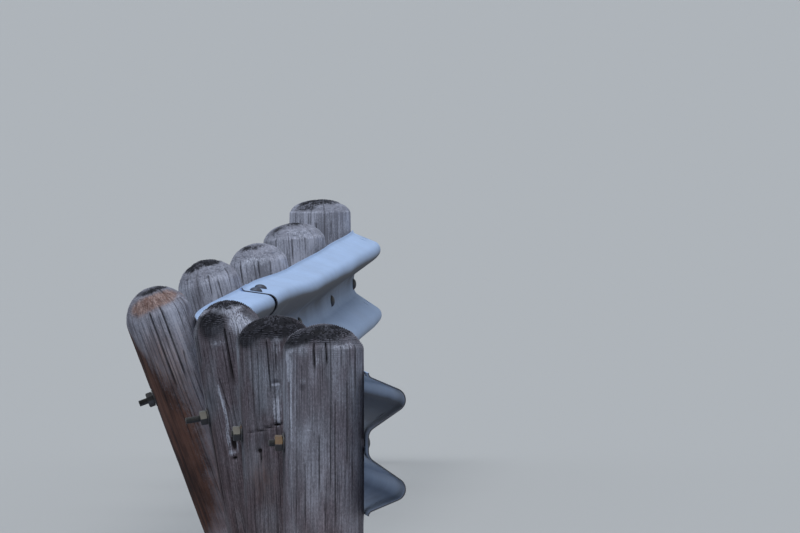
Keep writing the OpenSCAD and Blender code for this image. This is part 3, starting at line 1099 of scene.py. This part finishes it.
def lap_places(x):
    """The eight places of a lap's bolts, each with its hole's axis along y."""
    for side in (-1, 1):
        for half in (-1, 1):
            for wall, turn in ((INNER_WALL, INNER), (OUTER_WALL, -OUTER)):
                at = Matrix.Translation((x + side * LAP_PITCH / 2, wall.y, half * wall.z))
                yield at @ Matrix.Rotation(half * turn, 4, "X"), abs(turn)


def slot_cutters(first, last):
    bm = bmesh.new()
    for i in range(first, last + 1):
        slot_cutter(bm, POST_SLOT, Matrix.Translation((i * BAY, 0, 0)))
    for i in (first, last):
        for place, _ in lap_places(i * BAY):
            slot_cutter(bm, LAP_SLOT, place)
    bmesh.ops.recalc_face_normals(bm, faces=bm.faces[:])
    return new_mesh(bm, "cutters")


print("slots of", POST_SLOT, "m at the posts and", LAP_SLOT, "m at the laps")


# %% Apply modifiers to a mesh
def with_modifiers(mesh, *settings):
    """The mesh after modifiers, each given as a kind and its settings."""
    made = add_object("work", mesh)
    for kind, values in settings:
        modifier = made.modifiers.new(kind.lower(), kind)
        for name, value in values.items():
            setattr(modifier, name, value)
    bpy.context.view_layer.update()
    shaped = made.evaluated_get(bpy.context.evaluated_depsgraph_get())
    result = bpy.data.meshes.new_from_object(shaped)
    bpy.data.objects.remove(made)
    return result


# %% Roll and punch one length
# Between its ends the sheet is cut into short pieces, so that it can bend, and 3 mm from each end
# once more, so that the cut edge, painted dark for its rust and as shadow in the gap of the lap, has
# faces of its own.
PIECE, CUT_EDGE = 0.038, 0.003


def even_rings(bm, stations):
    """Puts every vertex on its ring, because each of many cuts rounds its place a little."""
    for v in bm.verts:
        v.co.x = stations[np.abs(stations - v.co.x).argmin()]


def straight_rail(name, first, last):
    bm = w_section()
    start, length = first * BAY - LAP / 2, (last - first) * BAY + LAP
    profile = bm.edges[:]
    bmesh.ops.translate(bm, vec=(start, 0, 0), verts=bm.verts[:])
    rolled = bmesh.ops.extrude_edge_only(bm, edges=profile)
    bmesh.ops.translate(bm, vec=(length, 0, 0), verts=verts_of(rolled["geom"]))
    long, pieces = [e for e in bm.edges if e.calc_length() > length / 2], round(length / PIECE)
    bmesh.ops.subdivide_edges(bm, edges=long, cuts=pieces - 1)
    cuts = [start + CUT_EDGE, start + length - CUT_EDGE]
    for x in cuts:
        bmesh.ops.bisect_plane(bm, geom=everything(bm), plane_co=(x, 0, 0), plane_no=(1, 0, 0))
    even_rings(bm, np.append(start + np.arange(pieces + 1) * length / pieces, cuts))
    bmesh.ops.recalc_face_normals(bm, faces=bm.faces[:])
    sheet = new_mesh(bm, name)
    cutters = add_object("cutters", slot_cutters(first, last))
    cut = with_modifiers(
        sheet, ("SOLIDIFY", {"thickness": SHEET, "offset": 0, "use_even_offset": True}),
        ("BOOLEAN", {"operation": "DIFFERENCE", "object": cutters, "solver": "EXACT"}))
    bpy.data.objects.remove(cutters)
    return cut


# %% Dents, and dirt with painted shade
# Each dent's place in bays and its height, depth, length and height in metres
DENTS = [
    (6.45, -0.02, -0.006, 0.16, 0.05), (5.6, 0.10, -0.004, 0.22, 0.04),
    (2.5, 0.09, -0.005, 0.30, 0.05), (3.45, -0.11, -0.007, 0.25, 0.06),
    (1.5, -0.09, -0.005, 0.20, 0.05), (5.4, -0.12, -0.006, 0.35, 0.05),
]
# Height on the section in metres, and how dark a film lies there: dust and splash that have stuck,
# and painted shade under the upper crest, in the valley and along the lower lip
DIRT_AND_SHADE_AT = (-0.155, -0.120, -0.097, -0.060, -0.015, 0.020, 0.060, 0.084, 0.097, 0.115)
DIRT_AND_SHADE = (0.75, 0.80, 0.45, 0.38, 0.56, 0.85, 1.05, 1.05, 0.45, 0.03)
END_DIRT_AND_SHADOW, ALONG_SHARE = 1.5, 0.25


# %% Bend the sheet
def bend_rail(mesh, lapped):
    """Carries a straight rail onto the run, over the other length where it laps."""
    straight = coordinates(mesh)
    x, y, z = straight.T
    p = x / BAY
    out = -y
    clear = np.clip(np.abs(p - np.rint(p)) * BAY / 0.12 - 0.6, 0, 1)
    for at, height, deep, long, tall in DENTS:
        dent = np.exp(-((p - at) * BAY / long) ** 2 - ((z - height) / tall) ** 2)
        out = out + clear * deep * dent
    if lapped:
        away = x - LAP_POST * BAY - LAP / 2
        out = out + LAP_STEP * (1 + np.cos(math.pi * np.clip(away / LAP_RUN, 0, 1))) / 2
    place, _, outward, upward = follow(p)
    move_points(mesh, place + out[:, None] * outward + z[:, None] * upward)
    # The cut ends are painted dark: rust, and painted shadow in the gap where the lengths lap.
    at_end = np.minimum(x - x.min(), x.max() - x) < 0.0005
    write_values(mesh, "dirt_and_shade", np.where(at_end, END_DIRT_AND_SHADOW, np.interp(z, DIRT_AND_SHADE_AT, DIRT_AND_SHADE)))
    write_values(mesh, "run", straight * (ALONG_SHARE, 1, 1))
    return mesh


print(len(DENTS), "dents, the deepest", 1000 * max(-deep for _, _, deep, _, _ in DENTS), "mm")


# %% [markdown]
# ## Zinc
# Hot-dip zinc starts bright, and after years outdoors it is a dull blue grey with faint crystals, a
# film of dust and splash, and rust where the coat is thin. The rail and every fastener share it in
# different amounts, so it is one node group with its own inputs, built once. On the rail its
# patterns follow the straight sheet, drawn out along the run as rolling and wiping leave them. The
# sheet's blue is much stronger than the zinc's own, and the rest of it is painted reflection of the
# sky. A dark film lies under the upper crest, in the valley and along the lower lip: dust where rain
# doesn't wash, and painted shade.

# %% The group's inputs and outputs
TAKES = (("Vector", "Vector", None), ("Clean", "Color", (0.5, 0.55, 0.62, 1)),
         ("Grime", "Float", 0.3), ("Rust", "Float", 0.1), ("Size", "Float", 1.0),
         ("Dirt_and_shade", "Float", 0.0))
GIVES = (("Colour", "Color"), ("Roughness", "Float"), ("Height", "Float"), ("Rusty", "Float"))


def zinc_sockets(tree):
    for name, kind, value in TAKES:
        socket = tree.interface.new_socket(name, in_out="INPUT", socket_type="NodeSocket" + kind)
        if value is not None:
            socket.default_value = value
    for name, kind in GIVES:
        tree.interface.new_socket(name, in_out="OUTPUT", socket_type="NodeSocket" + kind)
    return tree.nodes.new("NodeGroupInput").outputs, tree.nodes.new("NodeGroupOutput").inputs


# %% One group for every galvanised piece
def zinc_group():
    tree = bpy.data.node_groups.new("old_zinc", "ShaderNodeTree")
    given, result = zinc_sockets(tree)
    vector, size = given["Vector"], given["Size"]
    crystals = node(tree, "TexVoronoi", {"Vector": vector, "Scale": times(tree, size, 90)}, "Color")
    facet = node(tree, "SeparateColor", {0: crystals})
    cloud = cloudy(tree, vector, times(tree, size, 7), 3, 0.5)
    streak = cloudy(tree, stretched(tree, vector, (1, 0.4, 0.16)), times(tree, size, 26), 5, 0.7,
                    0.4)
    fine = cloudy(tree, vector, times(tree, size, 420), 3, 0.6)
    # Clean zinc, a little lighter or darker from crystal to crystal and from place to place
    tone = times(tree, sums(tree, "MULTIPLY_ADD", facet, 0.05, 0.95),
                 sums(tree, "MULTIPLY_ADD", cloud, 0.30, 0.85))
    grey = node(tree, "CombineColor", {0: tone, 1: tone, 2: tone})
    skin = mixed(tree, 1.0, given["Clean"], grey, "MULTIPLY")
    # Dust in streaks, and a dark film: dust where the rain doesn't wash, and painted shade under the
    # rail's crest, in its valley, along its lower lip, at its cut ends and on the fasteners'
    # undersides
    dust = times(tree, between(tree, streak, 0.42, 0.72), given["Grime"])
    skin = mixed(tree, dust, skin, (0.17, 0.15, 0.13))
    dirt_and_shade_film = sums(tree, "MULTIPLY", given["Dirt_and_shade"], sums(tree, "MULTIPLY_ADD", cloud, 0.6, 0.72),
                clamp=True)
    skin = mixed(tree, dirt_and_shade_film, skin, mixed(tree, cloud, (0.040, 0.041, 0.050), (0.085, 0.088, 0.105)))
    dust = sums(tree, "MAXIMUM", dust, dirt_and_shade_film)
    # Rust where the coat is thin
    thin = sums(tree, "ADD", times(tree, fine, 0.45), times(tree, cloud, 0.55))
    thin = sums(tree, "ADD", thin, sums(tree, "MULTIPLY_ADD", given["Rust"], 0.5, -0.5))
    rust = between(tree, thin, 0.22, 0.40)
    rusty = mixed(tree, fine, (0.075, 0.030, 0.014), (0.30, 0.135, 0.050))
    put(result["Colour"], mixed(tree, rust, skin, rusty))
    rough = sums(tree, "ADD", sums(tree, "MULTIPLY_ADD", cloud, 0.25, 0.34), times(tree, dust, 0.3))
    put(result["Roughness"], sums(tree, "MAXIMUM", rough, times(tree, rust, 0.9)))
    put(result["Height"], sums(tree, "MULTIPLY_ADD", rust, fine, times(tree, cloud, 0.5)))
    put(result["Rusty"], rust)
    return tree


ZINC = zinc_group()
print("zinc group:", len(ZINC.nodes), "nodes")


# %% A material from the group
def zinc_material(name, pattern, clean, grime, rust, size, metallic=0.30, relief=0.5):
    """A galvanised finish. Its pattern follows an attribute, or object coordinates for None."""
    material, tree, shader = new_material(name, metallic, 0.4)
    where = attribute(tree, pattern, "Vector") if pattern else node(tree, "TexCoord", {}, "Object")
    skin = tree.nodes.new("ShaderNodeGroup")
    skin.node_tree = ZINC
    for socket, value in (("Vector", where), ("Clean", clean), ("Grime", grime), ("Rust", rust),
                          ("Size", size), ("Dirt_and_shade", attribute(tree, "dirt_and_shade"))):
        put(skin.inputs[socket], value)
    for socket, output in (("Base Color", "Colour"), ("Roughness", "Roughness")):
        put(shader.inputs[socket], skin.outputs[output])
    bare = sums(tree, "MULTIPLY_ADD", skin.outputs["Rusty"], -metallic, metallic)
    put(shader.inputs["Metallic"], bare)
    bump(tree, shader, skin.outputs["Height"], relief, 0.001)
    return material


# The sheet's clean colour is a strong blue: the zinc's own blue grey and painted reflection of the
# sky.
sky_blue_sheet_zinc = zinc_material("galvanised_sheet", "run", (0.405, 0.540, 0.790), 0.08, 0.02, 1.0,
                           relief=0.05)
print("the sheet's material:", len(sky_blue_sheet_zinc.node_tree.nodes), "nodes")


# %% The two lengths
STEEL_DENSITY = 7850
for name, first, last in (("rail_near", 0, LAP_POST), ("rail_far", LAP_POST, LAST)):
    mesh = bend_rail(straight_rail(name, first, last), name == "rail_far")
    bm = to_bmesh(mesh)
    bmesh.ops.remove_doubles(bm, verts=bm.verts[:], dist=MERGE)
    bmesh.ops.dissolve_degenerate(bm, dist=MERGE, edges=bm.edges[:])
    bmesh.ops.triangulate(bm, faces=bm.faces[:])
    if bm.calc_volume(signed=True) < 0:
        bmesh.ops.reverse_faces(bm, faces=bm.faces[:])
    state, mass = closed_or_open(bm), bm.calc_volume() * STEEL_DENSITY
    fill_mesh(bm, mesh, 35)
    as_piece(f"galvanised_{name}", mesh, sky_blue_sheet_zinc, "galvanised_sheet", name)
    print(name, triangles(mesh), "triangles,", round(mass, 1), "kg,", state)

# %% [markdown]
# ## Post bolts
# A long bolt with a button head holds the rail to each post. Only its head shows in the valley,
# and its threaded end behind the nut. The outline of half a bolt is drawn and spun, and then the
# rings of the threaded end are pushed in along a helix, which costs few faces and catches the
# light as a real thread does.

# %% A bolt along z, from the underside of its head
BOLT_R, HEAD_R, HEAD_T, PITCH = 0.008, 0.0165, 0.010, 0.002
NUT_AF, NUT_T, WASHER_R, WASHER_T = 0.032, 0.017, 0.022, 0.004


def make_bolt(name, length, threaded, columns=24):
    bm = bmesh.new()
    draw_arc(bm, bm.verts.new((HEAD_R, 0, 0)), (0, 0, 0), (0, 1, 0), math.pi / 2, 9)
    bmesh.ops.scale(bm, vec=(1, 1, HEAD_T / HEAD_R), verts=bm.verts[:])
    end = draw_to(bm, widest(bm), (BOLT_R, 0, 0))
    end = draw_to(bm, end, (BOLT_R, 0, length - threaded))
    end = draw_to(bm, end, (BOLT_R, 0, length - 0.0012), round(threaded / PITCH * 6))
    end = draw_to(bm, end, (BOLT_R - 0.0012, 0, length))
    draw_to(bm, end, (0, 0, length))
    spin_round(bm, columns)
    for v in bm.verts:
        rho = math.hypot(v.co.x, v.co.y)
        if v.co.z > length - threaded and rho > BOLT_R - 0.0005:
            turn = math.atan2(v.co.y, v.co.x) / (math.tau)
            wave = 0.5 + 0.5 * math.cos(math.tau * (v.co.z / PITCH - turn))
            scale = 1 - 0.0011 / BOLT_R * wave
            v.co.x, v.co.y = v.co.x * scale, v.co.y * scale
    return new_mesh(bm, name, 50)


# %% [markdown]
# ## Nuts and washers
# A hexagon nut is turned with a thirty degree chamfer before its flats are cut, which is why each
# flat ends in an arc. The same order works here: spin the outline, then pull everything that lies
# outside the hexagon in to its flats. The washer is a ring with its edges rounded by wear.

# %% A nut and a washer along z
def make_nut(name):
    bore, corner, face = BOLT_R + FIT, NUT_AF / 2 / math.cos(math.pi / 6), 0.475 * NUT_AF
    drop = (corner - face) * math.tan(math.radians(30))
    bm = bmesh.new()
    first = end = bm.verts.new((bore, 0, 0.001))
    for place in ((bore + 0.001, 0, 0), (face, 0, 0), (corner, 0, drop), (corner, 0, NUT_T - drop),
                  (face, 0, NUT_T), (bore + 0.001, 0, NUT_T), (bore, 0, NUT_T - 0.001)):
        end = draw_to(bm, end, place)
    bm.edges.new((end, first))
    spin_round(bm, 72)
    for v in bm.verts:
        rho, turn = math.hypot(v.co.x, v.co.y), math.atan2(v.co.y, v.co.x) % (math.pi / 3)
        flat = NUT_AF / 2 / math.cos(turn - math.pi / 6)
        if rho > flat:
            v.co.x, v.co.y = v.co.x * flat / rho, v.co.y * flat / rho
            lift = max(0, (flat - face) * math.tan(math.radians(30)))
            v.co.z = lift if v.co.z < NUT_T / 2 else NUT_T - lift
    return new_mesh(bm, name, 20)


def make_washer(name):
    bm = bmesh.new()
    first = end = bm.verts.new((BOLT_R + FIT, 0, 0))
    for place in ((WASHER_R, 0, 0), (WASHER_R, 0, WASHER_T), (BOLT_R + FIT, 0, WASHER_T)):
        end = draw_to(bm, end, place)
    bm.edges.new((end, first))
    spin_round(bm, 64)
    rims = [e for e in bm.edges if e.calc_face_angle(0) > 1]
    bmesh.ops.bevel(bm, geom=rims, offset=0.0008, offset_type="OFFSET", affect="EDGES", segments=2,
                    profile=0.5, material=-1)
    return new_mesh(bm, name, 40)


# %% [markdown]
# ## Setting the fasteners
# A post's nut bears on its washer, which lies in the seat at the back. Each nut stops at its own
# turn and each bolt sticks out as far as the photograph shows. The nuts keep a yellowish cast,
# most of all the first. The long bolts were thinly coated, so their ends have gone dark, and at
# the fourth post the nut has too.

# %% Finishes of the fasteners
# The clean colour, the grime and the rust of each finish
WEAR_AND_SHADE_OF = {
    "old_nut": ((0.135, 0.122, 0.100), 0.40, 0.20),
    "ochre_nut": ((0.160, 0.094, 0.044), 0.35, 0.30),
    "old_bolt": ((0.056, 0.055, 0.054), 0.45, 0.30),
    "dark_bolt": ((0.022, 0.021, 0.021), 0.30, 0.10),
    # The washers' near black is partly their own dark and partly painted shadow of the nut.
    "old_washer_and_shadow": ((0.05, 0.048, 0.050), 0.60, 0.35),
    # The lap bolts' dark colour is partly painted shade on their heads.
    "lap_bolt_shaded_zinc": ((0.055, 0.070, 0.105), 0.25, 0.08),
}
FINISHES = {name: zinc_material(name, None, *values, 6.0) for name, values in WEAR_AND_SHADE_OF.items()}
print("finishes:", ", ".join(FINISHES))


# %% Put a fastener in its place
ALONG_Y = Matrix.Rotation(-math.pi / 2, 4, "X")


def facing_back(here, y):
    """A place on a post's or a rail's frame, at y along the bolt, for a piece drawn along z."""
    return here @ Matrix.Translation((0, y, 0)) @ ALONG_Y


def set_fastener(mesh, place, finish, slot, *stands_for):
    """Puts a piece in its place, with its underside painted dark: dirt where rain never comes, and
    painted shade.
    """
    down = place.to_3x3().inverted() @ Vector((0, 0, -1))
    under = coordinates(mesh)[:, :2] @ np.array(down.to_2d().normalized())
    # Painted shade and dirt: the underside is darkened.
    write_values(mesh, "dirt_and_shade", 0.9 * step_up(under, 0.0005, 0.004))
    mesh.transform(place)
    as_piece(mesh.name, mesh, FINISHES[finish], slot, *stands_for)


# %% Fasteners of the posts
NUT_TURNS = (-10, -4, -8, 25, 5, 17, -14, 9)
OCHRE_POST, DARK_POST = 0, 3
for i in range(POSTS):
    here, number = post_frame(i), i + 1
    front = -(RADIUS[i] + 2 * FIT + SHEET + (LAP_STEP if i == LAP_POST else 0))
    washer_at = seat_depth(i) + FIT
    nut_at = washer_at + WASHER_T + FIT
    reach = nut_at + NUT_T + STUB[i] - front
    bolt = make_bolt(f"long_bolt_{number}", reach, STUB[i] + 0.004)
    set_fastener(bolt, facing_back(here, front), "dark_bolt" if i == DARK_POST else "old_bolt",
                 "bolt_steel", f"post_bolt_{number}")
    set_fastener(make_washer(f"round_washer_{number}"), facing_back(here, washer_at),
                 "old_washer_and_shadow", "washer_steel", f"washer_{number}")
    turn = Matrix.Rotation(math.radians(NUT_TURNS[i]), 4, "Z")
    finish = {OCHRE_POST: "ochre_nut", DARK_POST: "dark_bolt"}.get(i, "old_nut")
    set_fastener(make_nut(f"hexagon_nut_{number}"), facing_back(here, nut_at) @ turn, finish,
                 "nut_steel", f"nut_{number}")
print("post fasteners set:", 3 * POSTS)

# %% [markdown]
# ## The lap
# The two lengths overlap at the fifth post, and eight short bolts clamp them: heads in front, nuts
# behind. Their slots at the run's two free ends stay open, ready for the next length. These bolts
# aren't in the solids, so they stand for nothing, but they sit in the slots that the solids have.

# %% Eight lap bolts
# The lap bolts and nuts take a dark finish, partly painted shade on the heads.
LAP_BOLT, LAP_THREAD = 0.034, 0.012
for number, (place, turn) in enumerate(lap_places(0.0), 1):
    along, place[0][3] = place[0][3], 0.0
    here = rail_frame(LAP_POST + along / BAY) @ place
    front = -(LAP_STEP * math.cos(turn) + SHEET / 2 + FIT)
    set_fastener(make_bolt(f"lap_bolt_{number}", LAP_BOLT, LAP_THREAD), facing_back(here, front),
                 "lap_bolt_shaded_zinc", "bolt_steel")
    turned = facing_back(here, SHEET / 2 + FIT) @ Matrix.Rotation(0.4 * number, 4, "Z")
    set_fastener(make_nut(f"lap_nut_{number}"), turned, "lap_bolt_shaded_zinc", "nut_steel")
print("lap bolts set:", number)

# %% [markdown]
# ## Floor and light
# The photograph is lit by open sky: soft, bluish from above, a little stronger from high up behind
# the camera. A plain pale floor runs far out, so that the long lens sees nothing else behind the
# posts. The world gives the sky's even light and one broad lamp gives it a direction. The plain
# view transform shows colours as a camera's own picture does.

# %% Pale floor
FLOOR_HALF, FLOOR_DROP = 1500, 0.0004
bm = bmesh.new()
bmesh.ops.create_grid(bm, x_segments=1, y_segments=1, size=FLOOR_HALF)
bmesh.ops.translate(bm, vec=(0, 0, -FLOOR_DROP), verts=bm.verts[:])
floor = add_object("floor", new_mesh(bm, "floor"))
pale_floor, _, floor_shader = new_material("pale_floor", 0, 0.2, 0.9)
floor_shader.inputs["Base Color"].default_value = (0.40, 0.395, 0.385, 1)
floor.data.materials.append(pale_floor)
print("floor", 2 * FLOOR_HALF, "m wide")

# %% Sky and one soft lamp
LAMP_WAY = Vector((0.34, 0.04, -1))
sky = bpy.data.worlds.new("open_sky")
bpy.context.scene.world = sky
sky.use_nodes = True
even_light = sky.node_tree.nodes["Background"]
even_light.inputs["Color"].default_value = (0.72, 0.84, 1.0, 1)
even_light.inputs["Strength"].default_value = 0.55
lamp = bpy.data.lights.new("broad_lamp", "SUN")
lamp.energy, lamp.angle, lamp.color = 2.3, math.radians(70), (0.94, 0.97, 1.0)
add_object("broad_lamp", lamp).rotation_euler = LAMP_WAY.to_track_quat("-Z", "Y").to_euler()
bpy.context.scene.view_settings.view_transform = "Standard"
print("lamp shines along", [round(v, 2) for v in LAMP_WAY.normalized()])
